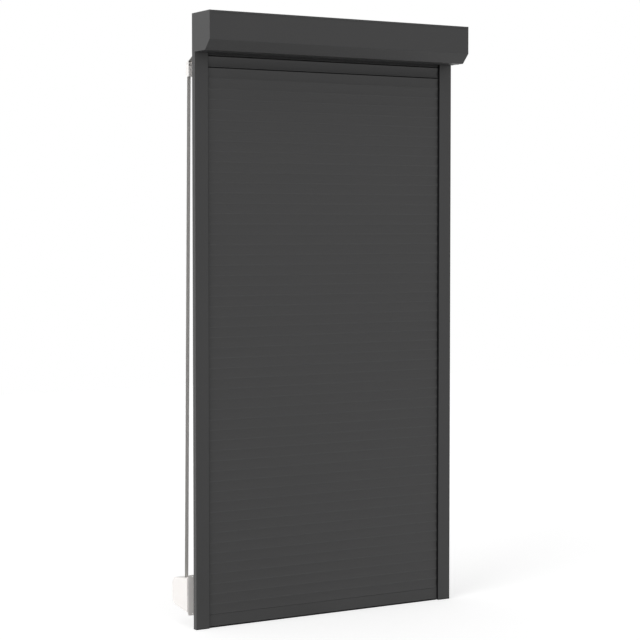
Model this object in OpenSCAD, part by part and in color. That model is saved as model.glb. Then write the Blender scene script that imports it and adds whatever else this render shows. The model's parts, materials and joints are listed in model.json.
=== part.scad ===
// Exterior roller shutter with a surface-mounted box, two guide rails, an interlocking
// slat curtain and a strap drive. Millimetres, +Z up, +Y towards the window.
// The origin lies on the back plane, in the middle of the four outer rail fixing holes.

/* [Overall] */
// width over the two end caps
shutter_w = 1100; // [700:1:1600]
// height from the feet of the rails to the top of the box
shutter_h = 2200; // [1500:1:2500]

/* [Box] */
// depth of the box, window side to front
box_d = 137; // [130:1:180]
// height of the box
box_h = 137; // [130:1:180]
// leg of the sloped lower front corner
box_bevel = 35; // [15:1:45]
// gauge of the folded covers
sheet_t = 1.2; // [0.8:0.1:2]
// hem of the top cover on the front
hem_h = 8; // [5:0.5:20]
// seam between hem and front cover
seam_gap = 0.5; // [0.3:0.1:1]
// tongue of the front cover behind the hem
tongue_h = 6; // [4:0.5:12]
// depth of the curtain inlet, from the back plane
inlet_d = 25; // [23:0.5:30]
// upturned lip at the inlet
inlet_lip = 9; // [5:0.5:15]
// plate of an end cap
cap_t = 3; // [2:0.1:4]
// depth of the rim that carries the covers
cap_rim_d = 14; // [8:0.5:20]
// thickness of that rim
cap_rim_t = 2; // [1.5:0.1:3]
// play between rim and covers
cap_play = 0.2; // [0.1:0.05:0.5]
// length of the tongue that goes into a rail
cap_tongue_l = 60; // [30:1:100]
// thickness of that tongue
cap_tongue_t = 3; // [2:0.1:4]
// shank radius of the cover screws
cover_screw_r = 1.9; // [1.5:0.1:2.5]
// head radius of the cover screws
cover_screw_head_r = 3.6; // [3:0.1:4.5]
// head height of the cover screws
cover_screw_head_h = 1.6; // [1:0.1:2.5]
// spacing of the two screws at each end
cover_screw_gap = 36; // [20:1:45]

/* [Guide rails] */
// width of a rail
rail_w = 53; // [48:0.5:70]
// depth of a rail
rail_d = 22; // [20:0.5:28]
// wall of a rail
rail_wall = 1.5; // [1.2:0.1:2]
// outer face to the web between screw chamber and channel
rail_web_x = 21.3; // [21:0.1:24]
// length of the two lips at the mouth
rail_lip_l = 9; // [8:0.5:12]
// clear width of the mouth
rail_mouth = 11; // [10.6:0.1:12]
// width of a seal groove inside
seal_groove_w = 5.6; // [5:0.1:6]
// depth of a seal groove inside
seal_groove_d = 1.6; // [1.2:0.1:2]
// opening of a seal groove
seal_neck_w = 3.4; // [2.5:0.1:4]
// depth of that opening
seal_neck_d = 1.2; // [0.8:0.1:1.5]
// how far the lip of a seal stands out of the mouth
seal_fin = 4; // [0.5:0.1:5]
// thickness of the strip over the end of a lip
seal_cover_t = 0.5; // [0.3:0.1:1]
// play of a seal in its groove
seal_play = 0.15; // [0.1:0.05:0.3]
// flange of a rail's foot plug
foot_t = 4; // [2:0.5:8]
// spigot of a foot plug
foot_spigot_l = 30; // [15:1:50]
// play of plugs and tongues in the rail
plug_play = 0.2; // [0.1:0.05:0.5]
// height of the inlet funnels in the rails
funnel_l = 45; // [25:1:80]
// wall of a funnel beside the web
funnel_wall = 1; // [0.8:0.1:1.5]
// flare at the top of a funnel
funnel_flare = 2.4; // [1:0.1:3]
// radius of the fixing holes in the back wall
fix_r = 2.75; // [2:0.05:3.5]
// radius of the access holes in the front wall
access_r = 6; // [5:0.1:8]
// lowest fixing hole above the foot
fix_low = 160; // [80:1:300]
// highest fixing hole below the box
fix_top = 103; // [60:1:200]
// depth of an access hole's cap
access_cap_l = 4; // [2:0.5:8]

/* [Slats] */
// pitch of the closed curtain
slat_pitch = 37; // [34:0.1:40]
// slit between two closed slats
slat_slit = 0.6; // [0.4:0.1:1.2]
// thickness of a slat
slat_t = 7.2; // [6.8:0.1:8]
// radius of the bowed slat
slat_bow_r = 90; // [70:1:160]
// wall of a slat
slat_wall = 0.5; // [0.4:0.05:1]
// lips that hold the bead
slat_lip = 1; // [0.8:0.1:1.4]
// slot between the lips
slat_slot = 2.2; // [1.8:0.1:2.6]
// neck of the hook
neck_t = 1; // [0.8:0.1:1.3]
// bead on the neck
bead_r = 1.9; // [1.6:0.05:2.1]
// bead centre above the next slat's lower edge when closed
bead_in = 7; // [6:0.1:8]
// place of the hook across the slat
neck_y = -0.2; // [-0.5:0.05:0.3]
// side play of the curtain in the funnels, at each end
end_play = 0.4; // [0.3:0.1:2]
// head of an end clip
clip_t = 2; // [1:0.1:2.2]
// plug of an end clip
clip_plug = 12; // [6:0.5:20]
// running clearance
run_play = 0.3; // [0.2:0.05:0.5]

/* [Bottom rail] */
// joint line of the bottom rail above the feet
foot_h = 49; // [44:0.5:70]
// thickness of the bottom rail
foot_rail_t = 8.6; // [8:0.1:9.2]
// wall of the bottom rail
foot_wall = 1.4; // [1:0.1:2]
// room for the rubber seal over the feet of the rails
foot_seal_h = 1; // [0.5:0.5:8]
// thickness of the hollow bulb of the seal
foot_seal_skin = 1.2; // [0.8:0.1:2]
// head of the seal in its groove
foot_seal_head = 4.6; // [4:0.1:5]
// glide at each end of the bottom rail
glide_t = 2; // [1:0.1:2.2]
// spigot of a glide
glide_plug = 30; // [15:1:50]

/* [Roller] */
// octagonal roller tube across its flats
tube_af = 40; // [36:0.5:60]
// wall of the tube
tube_wall = 0.8; // [0.5:0.1:1.5]
// radius of the roller pins
pin_r = 6; // [5:0.1:7]
// running fit of pins and bearings
run_fit = 0.05; // [0.02:0.01:0.1]
// outer radius of a bearing
bearing_r = 14; // [13:0.1:15]
// width of a bearing
bearing_w = 8; // [6:0.5:10]
// wall of the bearing housing
boss_wall = 3; // [2:0.1:3.5]
// floor of the bearing housing
boss_floor = 2; // [1:0.1:3]
// disc of a roller plug
plug_disc_t = 3; // [2:0.1:5]
// length of a roller plug in the tube
plug_l = 50; // [30:1:80]
// number of hanger springs
hangers = 4; // [2:1:8]
// width of a hanger spring
hanger_w = 25; // [15:1:40]
// gauge of a hanger spring
hanger_t = 0.8; // [0.5:0.1:1.2]

/* [Strap drive] */
// width of the strap
strap_w = 14; // [12:0.5:15]
// thickness of the strap
strap_t = 1.2; // [0.8:0.1:1.5]
// middle of the strap from the outer side of the shutter
strap_x = 13; // [12:0.1:14]
// side play of the strap on its reels
strap_side = 0.6; // [0.4:0.1:1]
// flanges of the pulley
pulley_flange_t = 1.4; // [1:0.1:1.6]
// radius over the pulley's flanges
pulley_r = 46; // [42:0.5:55]
// hub of the pulley, outside
pulley_hub_r = 25; // [24:0.5:28]
// wall of that hub
pulley_hub_wall = 3; // [2:0.1:4]
// strap wound on the pulley, outer radius
pulley_coil_r = 34.5; // [30:0.5:40]
// window frame between the back plane and the inside fittings
frame_t = 34; // [25:1:80]
// guide roller radius
guide_roller_r = 6; // [4:0.1:8]
// pin of the guide roller
guide_pin_r = 2; // [1.5:0.1:2.5]
// guide roller below the underside of the box
guide_drop = 37; // [30:1:60]
// height of the strap guide
guide_h = 50; // [40:1:80]
// depth of the strap guide
guide_d = 20; // [18:0.5:30]
// wall of the strap guide
guide_wall = 1.8; // [1.2:0.1:2.2]
// base plate of the strap guide
guide_plate_t = 2.2; // [1.5:0.1:2.4]
// screw holes of the strap guide
guide_hole_r = 1.8; // [1.5:0.1:2.2]
// spacing of those holes
guide_hole_gap = 20; // [15:1:24]

/* [Strap winder] */
// width of the winder's case
winder_w = 41; // [28:0.5:50]
// middle of the winder above the feet
winder_z = 116; // [95:1:1200]
// width of the mounting plate
winder_plate_w = 36; // [24:0.5:50]
// length of the mounting plate
winder_plate_h = 147; // [140:1:200]
// thickness of the mounting plate
winder_plate_t = 3; // [2:0.1:4]
// spacing of the plate's screw holes
winder_hole_gap = 135; // [130:1:190]
// screw holes of the plate
winder_hole_r = 2.1; // [1.5:0.1:3]
// height of the case at the plate
winder_case_h = 126; // [120:1:180]
// depth of the case from the plate
winder_case_d = 125; // [118:1:160]
// radius of the two round corners of the case
winder_r = 25; // [15:0.5:35]
// distance between the middles of those corners
winder_nose_h = 52; // [48:1:80]
// spool axis from the window frame
winder_off = 71; // [60:0.5:90]
// wall of the case
winder_wall = 2; // [1.5:0.1:2.2]
// axle of the spool
axle_r = 4; // [3:0.1:5]
// boss of the axle
axle_boss_r = 7; // [6:0.1:9]
// radius over the spool's flanges
spool_r = 46; // [40:0.5:48]
// flanges of the spool
spool_flange_t = 1.2; // [0.8:0.1:1.4]
// hub of the spool, outside
spool_hub_r = 20; // [18:0.5:26]
// wall of that hub
spool_hub_wall = 3; // [2:0.1:4]
// strap left on the spool, outer radius
spool_coil_r = 21.4; // [21:0.1:30]
// screws that close the case
case_screw_r = 1.5; // [1.2:0.1:2]
// heads of those screws
case_screw_head_r = 3; // [2.5:0.1:3.5]
// posts that take those screws
case_post_r = 4.2; // [3.8:0.1:5]

/* [Hidden] */
$fn = 48;
eps = 0.01;
lap = 0.15;
slat_groups = 19;

// main levels, from the feet of the rails
box_z = shutter_h - box_h;
rail_h = box_z - foot_t;
fix_high = box_z - fix_top;
origin_z = (fix_low + fix_high) / 2;
half_w = shutter_w / 2;

// curtain
curtain_y = -rail_d / 2;
slat_h = slat_pitch - slat_slit;
slat_x = rail_web_x + rail_wall + plug_play + funnel_wall + end_play + clip_t + plug_play;
slat_l = shutter_w - 2 * slat_x;
slat_play = bead_in - slat_lip - bead_r - run_play;
slats = floor((box_z - foot_h) / slat_pitch) + 1;
bow_sag = slat_bow_r - sqrt(slat_bow_r * slat_bow_r - slat_h * slat_h / 4);
pocket_top = bead_in + bead_r + 0.5;
function slat_z(k) = foot_h + k * slat_pitch + max(0, k - (slats - 3)) * slat_play;
function group_start(g) = floor(g * slats / slat_groups);

// roller
axis_y = -box_d / 2;
axis_z = box_z + box_h / 2;
boss_r = bearing_r + run_fit + boss_wall;
boss_l = boss_floor + bearing_w;
reel_w = strap_w + 2 * strap_side;
reel_x = strap_x - reel_w / 2;
plug_x = reel_x + reel_w + pulley_flange_t;
pin_x = cap_t + boss_floor + run_play;
tube_x = plug_x + plug_disc_t;
oct = 1 / cos(22.5);

// strap path, in the plane across the shutter
strap_gap = run_play + strap_t / 2;
pulley_c = [axis_y, axis_z];
pulley_path_r = pulley_coil_r + strap_gap;
guide_path_r = guide_roller_r + run_play + strap_t / 2;
guide_c = [frame_t + guide_plate_t + guide_roller_r, box_z - guide_drop];
spool_c = [frame_t + winder_off, winder_z];
spool_path_r = spool_coil_r + strap_gap;
upper_d = guide_c - pulley_c;
upper_a = atan2(upper_d[1], upper_d[0]) + asin((pulley_path_r + guide_path_r) / norm(upper_d));
lower_d = spool_c - guide_c;
lower_a = atan2(lower_d[1], lower_d[0]) - asin((guide_path_r + spool_path_r) / norm(lower_d));
function normal_of(a) = [-sin(a), cos(a)];
upper_p = pulley_c - pulley_path_r * normal_of(upper_a);
upper_q = guide_c + guide_path_r * normal_of(upper_a);
lower_p = guide_c + guide_path_r * normal_of(lower_a);
lower_q = spool_c - spool_path_r * normal_of(lower_a);
strap_back_z = upper_q[1] + (0 - upper_q[0]) * tan(upper_a);
strap_lip_z = upper_q[1] + (-inlet_d - sheet_t / 2 - upper_q[0]) * tan(upper_a);

// winder, from the outer side of the shutter
winder_mid = strap_x;
winder_x = winder_mid - winder_w / 2;
case_y = frame_t + winder_plate_t;
nose_c = [case_y + winder_case_d - winder_r, winder_nose_h / 2];
nose_steps = 16;
nose_to_plate = [case_y, winder_case_h / 2] - nose_c;
slope_a = atan2(nose_to_plate[1], nose_to_plate[0]) - acos(winder_r / norm(nose_to_plate));
// half the height of the case at a depth, for a wall set in by i
function case_half_h(y, i) =
    nose_c[1] + (winder_r - i) / sin(slope_a) - (y - nose_c[0]) * cos(slope_a) / sin(slope_a);
strap_mid_y = lower_p[0] + (lower_p[1] - winder_z - winder_case_h / 2) / tan(-lower_a);
strap_top_z = winder_z + case_half_h(strap_mid_y, 0);

// set a profile drawn in the plane across the shutter along X, from x0 over a length
module along_x(x0, l) {
    translate([-half_w + x0, 0, -origin_z]) rotate([90, 0, 90]) linear_extrude(l) children();
}

// cylinder along X at a point of the plane across the shutter
module rod_x(x0, l, c, r) {
    translate([-half_w + x0, c[0], c[1] - origin_z]) rotate([0, 90, 0]) cylinder(r = r, h = l);
}

module mirrored() {
    mirror([1, 0, 0]) children();
}

// a flat band in the plane, from p along the angle a, lapped a little at both ends
module band(p, a, l, t) {
    translate(p) rotate(a) translate([-lap, -t / 2]) square([l + 2 * lap, t]);
}

// part of a ring from angle a0 to a1, less than half a turn
module arc_band(c, r, t, a0, a1) {
    reach = 2 * (r + t);
    translate(c) intersection() {
        difference() {
            circle(r + t / 2);
            circle(r - t / 2);
        }
        polygon([[0, 0], reach * [cos(a0), sin(a0)],
            reach * [cos((a0 + a1) / 2), sin((a0 + a1) / 2)] / cos((a1 - a0) / 4),
            reach * [cos(a1), sin(a1)]]);
    }
}

// outline of the box, set in by a distance
module box_outline(i) {
    k = i * (sqrt(2) - 1);
    translate([0, box_z]) polygon([[-i, i], [-i, box_h - i], [-box_d + i, box_h - i],
        [-box_d + i, box_bevel + k], [-box_d + box_bevel + k, i]]);
}

module box_ring(i, t) {
    difference() {
        box_outline(i);
        box_outline(i + t);
    }
}

// screws near both ends of the underside, in pairs
screw_mid_y = -(inlet_d + box_d - box_bevel) / 2;
module at_cover_screws() {
    for (s = [-1, 1], v = [-1, 1]) {
        translate([s * (half_w - cap_t - cap_rim_d / 2),
            screw_mid_y + v * cover_screw_gap / 2, box_z - origin_z]) children();
    }
}

module box_top_cover() {
    color("#444444") along_x(cap_t, shutter_w - 2 * cap_t) intersection() {
        box_ring(0, sheet_t);
        union() {
            translate([-box_d - 1, box_z + box_h - hem_h]) square([box_d + 2, hem_h + 1]);
            translate([-sheet_t, box_z]) square([sheet_t + 1, box_h]);
        }
    }
}

module front_cover_profile() {
    top = box_z + box_h - hem_h - seam_gap;
    intersection() {
        box_ring(0, sheet_t);
        translate([-box_d - 1, box_z - 1]) square([box_d + 1 - inlet_d, top - box_z + 1]);
    }
    translate([-box_d + sheet_t - eps, top - tongue_h])
        square([sheet_t + eps, tongue_h - eps]);
    translate([-box_d + sheet_t + cap_play, top - tongue_h])
        square([sheet_t - cap_play, 2 * tongue_h]);
    translate([-inlet_d - sheet_t, box_z]) square([sheet_t, inlet_lip]);
}

module box_front_cover() {
    color("#444444") difference() {
        along_x(cap_t, shutter_w - 2 * cap_t) front_cover_profile();
        at_cover_screws() translate([0, 0, -1])
            cylinder(r = cover_screw_r + run_fit, h = sheet_t + 2);
        // cut in the inlet lip where the strap leaves the box
        translate([-half_w, -inlet_d - sheet_t - 1, strap_lip_z - 3 * strap_t - origin_z])
            cube([strap_x + reel_w / 2, sheet_t + 2, inlet_lip + tongue_h]);
    }
}

module end_cap() {
    rim_in = sheet_t + cap_play;
    along_x(0, cap_t) box_outline(0);
    difference() {
        along_x(cap_t - eps, cap_rim_d + eps) difference() {
            box_ring(rim_in, cap_rim_t);
            translate([-inlet_d - sheet_t - 1, box_z]) square([inlet_d + sheet_t + 1, inlet_lip + 4]);
            translate([-box_d, box_z + box_h - hem_h - seam_gap - tongue_h - 1])
                square([2 * sheet_t + cap_rim_t, 2 * tongue_h + 2]);
        }
        at_cover_screws() cylinder(r = cover_screw_r + run_fit, h = 20);
    }
    difference() {
        rod_x(cap_t - eps, boss_l + eps, [axis_y, axis_z], boss_r);
        rod_x(cap_t + boss_floor, bearing_w + 1, [axis_y, axis_z], bearing_r + run_fit);
    }
    // tongue in the screw chamber of the rail, stiffened where it leaves the plate
    along_x(rail_wall + plug_play, cap_tongue_t)
        translate([-rail_d + rail_wall + plug_play, box_z - cap_tongue_l])
            square([rail_d - 2 * (rail_wall + plug_play), cap_tongue_l + cap_rim_t * 5]);
}

module end_cap_left() {
    color("#4a4a4a") end_cap();
}

module end_cap_right() {
    color("#4a4a4a") mirrored() end_cap();
}

module cover_screws() {
    color("#333333") at_cover_screws() {
        translate([0, 0, -cover_screw_head_h])
            cylinder(r = cover_screw_head_r, h = cover_screw_head_h);
        translate([0, 0, -eps]) cylinder(r = cover_screw_r, h = 2 * sheet_t + cap_rim_t + 4);
    }
}

module bearing() {
    difference() {
        rod_x(cap_t + boss_floor, bearing_w, [axis_y, axis_z], bearing_r);
        rod_x(cap_t + boss_floor - 1, bearing_w + 2, [axis_y, axis_z], pin_r + run_fit);
    }
}

module bearing_left() {
    color("#b8bcc0") bearing();
}

module bearing_right() {
    color("#b8bcc0") mirrored() bearing();
}

module octagon(af) {
    translate(pulley_c) rotate(22.5) circle(r = af / 2 * oct, $fn = 8);
}

module roller_tube() {
    color("#a9adb1") along_x(tube_x, shutter_w - 2 * tube_x) difference() {
        octagon(tube_af);
        octagon(tube_af - 2 * tube_wall);
    }
}

module roller_plug() {
    rod_x(pin_x, plug_x - pin_x + eps, [axis_y, axis_z], pin_r);
    rod_x(plug_x, plug_disc_t, [axis_y, axis_z], tube_af / 2);
    along_x(tube_x - eps, plug_l + eps) difference() {
        octagon(tube_af - 2 * tube_wall - 2 * plug_play);
        translate(pulley_c) for (a = [0 : 90 : 270]) rotate(a)
            translate([tube_af / 4, 0]) circle(tube_af / 11, $fn = 24);
    }
}

module roller_plug_left() {
    color("#2b2b2b") roller_plug();
}

module roller_plug_right() {
    color("#2b2b2b") mirrored() roller_plug();
}

// spring strips riveted to a flat of the tube, hooked over the bead of the top slat
hanger_flat = [axis_y + tube_af / 2 + run_play, axis_z + tube_af / 6];
hanger_bend = [hanger_flat[0], axis_z - tube_af / 6];
hanger_bead = [curtain_y + neck_y, slat_z(slats - 1) + slat_pitch + bead_in];
hanger_a = atan2(hanger_bead[1] - hanger_bend[1], hanger_bead[0] - hanger_bend[0]);
hanger_run = norm(hanger_bead - hanger_bend) - bead_r - run_play;
module hanger_springs() {
    pitch = slat_l / hangers;
    color("#c4c7ca") for (i = [0 : hangers - 1])
        along_x(slat_x + (i + 0.5) * pitch - hanger_w / 2, hanger_w) {
            translate([hanger_flat[0], hanger_bend[1]])
                square([hanger_t, hanger_flat[1] - hanger_bend[1]]);
            translate([hanger_t / 2, 0]) band(hanger_bend, hanger_a, hanger_run - hanger_t / 2, hanger_t);
        }
}

module strap_pulley() {
    wall = pulley_hub_wall;
    color("#f2f2ee") translate([-half_w, axis_y, axis_z - origin_z]) rotate([0, 90, 0]) rotate_extrude() {
        translate([pulley_hub_r - wall, reel_x]) square([wall, reel_w]);
        translate([pulley_hub_r - wall, reel_x - pulley_flange_t])
            square([pulley_r - pulley_hub_r + wall, pulley_flange_t + eps]);
        translate([pin_r + run_fit, reel_x + reel_w - eps])
            square([pulley_r - pin_r - run_fit, pulley_flange_t]);
    }
}

module wound_strap(c, r0, r1) {
    translate([-half_w, c[0], c[1] - origin_z]) rotate([0, 90, 0]) rotate_extrude()
        translate([r0, strap_x - strap_w / 2]) square([r1 - r0, strap_w]);
}

module pulley_strap_coil() {
    color("#8a8986") wound_strap(pulley_c, pulley_hub_r, pulley_coil_r);
}

// profile of a rail: screw chamber outside, channel inside, lips with seal grooves
module seal_groove(extra) {
    translate([rail_w - rail_lip_l / 2, (rail_d - rail_mouth) / 2]) {
        translate([-seal_neck_w / 2 + extra, -seal_neck_d - 1])
            square([seal_neck_w - 2 * extra, seal_neck_d + 1.5]);
        translate([-seal_groove_w / 2 + extra, -seal_neck_d - seal_groove_d + extra])
            square([seal_groove_w - 2 * extra, seal_groove_d - 2 * extra]);
    }
}

module rail_profile() {
    lip_x = rail_w - rail_lip_l;
    in_h = rail_d - 2 * rail_wall;
    channel_x = rail_web_x + rail_wall;
    difference() {
        square([rail_w, rail_d]);
        translate([rail_wall, rail_wall]) square([rail_web_x - rail_wall, in_h]);
        translate([channel_x, rail_wall]) square([lip_x - channel_x, in_h]);
        translate([channel_x, (rail_d - rail_mouth) / 2]) square([rail_w, rail_mouth]);
        seal_groove(0);
        translate([0, rail_d]) mirror([0, 1]) seal_groove(0);
    }
}

fix_x = (rail_wall + rail_web_x) / 2;
module at_fixings() {
    for (z = [fix_low, origin_z, fix_high])
        translate([-half_w + fix_x, 0, z - origin_z]) rotate([90, 0, 0]) children();
}

module guide_rail() {
    difference() {
        translate([-half_w, -rail_d, foot_t - origin_z]) linear_extrude(rail_h) rail_profile();
        at_fixings() translate([0, 0, -1]) cylinder(r = fix_r, h = rail_wall + 2);
        at_fixings() translate([0, 0, rail_d - rail_wall - 1]) cylinder(r = access_r, h = rail_wall + 2);
    }
}

module guide_rail_left() {
    notch = strap_w + 2 * strap_side;
    color("#444444") difference() {
        guide_rail();
        // passage of the strap at the top of the back wall
        translate([-half_w + strap_x - notch / 2, -rail_wall - 1, strap_back_z - 4 * strap_t - origin_z])
            cube([notch, rail_wall + 2, box_z]);
    }
}

module guide_rail_right() {
    color("#444444") mirrored() guide_rail();
}

// strip in its groove: a lip leans out of the mouth towards the slats, a cover hides the end of the rail lip
module seal_profile() {
    lip_y = (rail_d - rail_mouth) / 2;
    face = rail_d / 2 - (slat_t + bow_sag) / 2 - run_play;
    mid = rail_w - rail_lip_l / 2;
    seal_groove_fill();
    translate([mid, lip_y]) polygon([[-seal_neck_w / 2 + seal_play, 0],
        [rail_lip_l / 2 + seal_fin - 1, 0.1], [rail_lip_l / 2 + seal_fin, face - lip_y - 0.1],
        [rail_lip_l / 2 + seal_fin - 0.4, face - lip_y], [-seal_neck_w / 2 + seal_play, face - lip_y]]);
    translate([rail_w + seal_play, seal_cover_t]) square([seal_cover_t, face - 0.1 - seal_cover_t]);
}

module seal_groove_fill() {
    translate([rail_w - rail_lip_l / 2, (rail_d - rail_mouth) / 2]) {
        translate([-seal_neck_w / 2 + seal_play, -seal_neck_d - 0.5])
            square([seal_neck_w - 2 * seal_play, seal_neck_d + 0.6]);
        translate([-seal_groove_w / 2 + seal_play, -seal_neck_d - seal_groove_d + seal_play])
            square([seal_groove_w - 2 * seal_play, seal_groove_d - 2 * seal_play]);
    }
}

module rail_seals() {
    translate([-half_w, -rail_d, foot_t - origin_z]) linear_extrude(rail_h - 1) {
        seal_profile();
        translate([0, rail_d]) mirror([0, 1]) seal_profile();
    }
}

module rail_seals_left() {
    color("#111111") rail_seals();
}

module rail_seals_right() {
    color("#111111") mirrored() rail_seals();
}

// liner in the channel with a flared mouth for the slat ends
module inlet_funnel() {
    x0 = rail_web_x + rail_wall + plug_play;
    x1 = rail_w - rail_lip_l - plug_play;
    y0 = rail_wall + plug_play;
    slot = slat_t + bow_sag + 4 * run_play;
    z0 = box_z - funnel_l - origin_z;
    difference() {
        translate([-half_w + x0, -rail_d + y0, z0]) cube([x1 - x0, rail_d - 2 * y0, funnel_l]);
        translate([-half_w + x0 + funnel_wall, curtain_y - slot / 2, z0 - 1])
            cube([rail_w, slot, funnel_l + 2]);
        along_x(x0 + funnel_wall, rail_w) translate([curtain_y, box_z])
            polygon([[-slot / 2, -funnel_l / 2], [slot / 2, -funnel_l / 2],
                [slot / 2 + funnel_flare, 1], [-slot / 2 - funnel_flare, 1]]);
    }
}

module inlet_funnel_left() {
    color("#1d1d1d") inlet_funnel();
}

module inlet_funnel_right() {
    color("#1d1d1d") mirrored() inlet_funnel();
}

module rail_foot() {
    p = rail_wall + plug_play;
    translate([-half_w, -rail_d, -origin_z]) {
        cube([rail_w, rail_d, foot_t]);
        difference() {
            translate([p, p, foot_t - eps]) cube([rail_web_x - p - plug_play, rail_d - 2 * p, foot_spigot_l]);
            translate([2 * p, 2 * p, foot_t + 1])
                cube([rail_web_x - 3 * p - plug_play, rail_d - 4 * p, foot_spigot_l]);
        }
    }
}

module rail_foot_left() {
    color("#1d1d1d") rail_foot();
}

module rail_foot_right() {
    color("#1d1d1d") mirrored() rail_foot();
}

module access_caps() {
    at_fixings() translate([0, 0, rail_d - access_cap_l]) difference() {
        union() {
            cylinder(r = access_r - run_fit, h = access_cap_l);
        }
        translate([0, 0, -1]) cylinder(r = access_r - rail_wall, h = access_cap_l - rail_wall + 1);
    }
}

module access_hole_caps() {
    color("#444444") {
        access_caps();
        mirrored() access_caps();
    }
}

// hollow bowed slat: pocket below, closed chamber above, hook with a bead on top
module bowed(t, z0, z1) {
    intersection() {
        translate([bow_sag / 2 - slat_bow_r, slat_h / 2]) difference() {
            circle(slat_bow_r + t / 2, $fn = 180);
            circle(slat_bow_r - t / 2, $fn = 180);
        }
        translate([-slat_t, z0]) square([2 * slat_t, z1 - z0]);
    }
}

module hook(z0) {
    translate([neck_y - neck_t / 2, z0 - eps]) square([neck_t, slat_pitch + bead_in - z0]);
    translate([neck_y, slat_pitch + bead_in]) circle(bead_r, $fn = 32);
}

module slat_profile() {
    hollow = slat_t - 2 * slat_wall;
    difference() {
        bowed(slat_t, 0, slat_h);
        bowed(hollow, pocket_top + slat_wall, slat_h - slat_wall);
        bowed(hollow, slat_lip, pocket_top);
        translate([neck_y - slat_slot / 2, -1]) square([slat_slot, slat_lip + 2]);
    }
    hook(slat_h);
}

module end_clip() {
    inner = slat_t - 2 * slat_wall - 2 * plug_play;
    along_x(slat_x - plug_play - clip_t, clip_t) bowed(slat_t - 2 * plug_play, plug_play, slat_h - plug_play);
    along_x(slat_x - plug_play - eps, clip_plug)
        bowed(inner, pocket_top + slat_wall + plug_play, slat_h - slat_wall - plug_play);
}

module slat() {
    along_x(slat_x, slat_l) slat_profile();
    end_clip();
    mirrored() end_clip();
}

module slat_group(g) {
    color("#444444") for (k = [group_start(g) : group_start(g + 1) - 1])
        translate([0, curtain_y, slat_z(k)]) slat();
}

module slats_01() { slat_group(0); }
module slats_02() { slat_group(1); }
module slats_03() { slat_group(2); }
module slats_04() { slat_group(3); }
module slats_05() { slat_group(4); }
module slats_06() { slat_group(5); }
module slats_07() { slat_group(6); }
module slats_08() { slat_group(7); }
module slats_09() { slat_group(8); }
module slats_10() { slat_group(9); }
module slats_11() { slat_group(10); }
module slats_12() { slat_group(11); }
module slats_13() { slat_group(12); }
module slats_14() { slat_group(13); }
module slats_15() { slat_group(14); }
module slats_16() { slat_group(15); }
module slats_17() { slat_group(16); }
module slats_18() { slat_group(17); }
module slats_19() { slat_group(18); }

// bottom rail: hook on top, two chambers, groove for the rubber seal
foot_z = foot_t + run_play;
foot_rail_z = foot_z + foot_seal_h;
foot_top_z = foot_h - slat_slit;
foot_web_z = foot_rail_z + foot_seal_head + 2 * foot_wall;
module foot_chamber(play) {
    w = foot_rail_t - 2 * foot_wall - 2 * play;
    translate([-w / 2, foot_web_z + play]) square([w, foot_top_z - foot_wall - foot_web_z - 2 * play]);
}

module foot_profile() {
    groove = foot_rail_t - 2 * foot_wall;
    difference() {
        translate([-foot_rail_t / 2, foot_rail_z]) square([foot_rail_t, foot_top_z - foot_rail_z]);
        foot_chamber(0);
        translate([-groove / 2, foot_rail_z + foot_wall]) square([groove, foot_seal_head]);
        translate([-groove / 4, foot_rail_z - 1]) square([groove / 2, foot_wall + 2]);
    }
    translate([0, foot_h - slat_pitch]) hook(slat_h);
}

module bottom_rail() {
    color("#444444") translate([0, curtain_y, 0]) along_x(slat_x, slat_l) foot_profile();
}

module bottom_seal() {
    groove = foot_rail_t - 2 * foot_wall;
    // the bulb reaches down to the sill between the rails, the head runs through to the slat ends
    bulb_x = rail_w + seal_fin + run_play;
    color("#151515") translate([0, curtain_y, 0]) {
        along_x(slat_x, slat_l) {
            translate([-groove / 2 + seal_play, foot_rail_z + foot_wall + seal_play])
                square([groove - 2 * seal_play, foot_seal_head - 2 * seal_play]);
            translate([-groove / 4 + seal_play, foot_rail_z - 1])
                square([groove / 2 - 2 * seal_play, foot_wall + 2]);
        }
        along_x(bulb_x, shutter_w - 2 * bulb_x) difference() {
            translate([-foot_rail_t / 2 + 0.4, seal_play])
                square([foot_rail_t - 0.8, foot_rail_z - plug_play - seal_play]);
            translate([0, foot_rail_z / 2]) circle(foot_rail_z / 2 - foot_seal_skin);
        }
    }
}

module glide() {
    translate([0, curtain_y, 0]) {
        along_x(slat_x - glide_t, glide_t) translate([-foot_rail_t / 2, foot_rail_z])
            square([foot_rail_t, foot_top_z - foot_rail_z]);
        along_x(slat_x - eps, glide_plug) foot_chamber(plug_play);
    }
}

module bottom_rail_glides() {
    color("#1d1d1d") {
        glide();
        mirrored() glide();
    }
}

// the belt, from the pulley over the guide roller to the spool
module strap() {
    color("#8a8986") along_x(strap_x - strap_w / 2, strap_w) {
        arc_band(pulley_c, pulley_path_r, strap_t, upper_a - 90 - 110, upper_a - 90);
        band(upper_p, upper_a, norm(upper_q - upper_p), strap_t);
        arc_band(guide_c, guide_path_r, strap_t, lower_a + 90, upper_a + 90);
        band(lower_p, lower_a, norm(lower_q - lower_p), strap_t);
        arc_band(spool_c, spool_path_r, strap_t, lower_a - 90, lower_a - 90 + 110);
    }
}

// inside strap guide: base plate, two cheeks and a cover behind the strap
guide_z = guide_c[1] + 4 - guide_h;
guide_x = strap_x - reel_w / 2 - guide_wall;
module guide_cheek_profile() {
    head = guide_path_r + strap_t / 2 + 1.4;
    difference() {
        union() {
            translate([frame_t, guide_z + 6]) square([guide_d, guide_h - 12]);
            translate(guide_c) circle(head);
            translate([frame_t, guide_z]) square([guide_d * 0.7, guide_h - 6]);
        }
        translate([frame_t - 2 * head, guide_z]) square([2 * head, 2 * guide_h]);
        translate(guide_c) circle(guide_pin_r + run_fit);
    }
}

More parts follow.
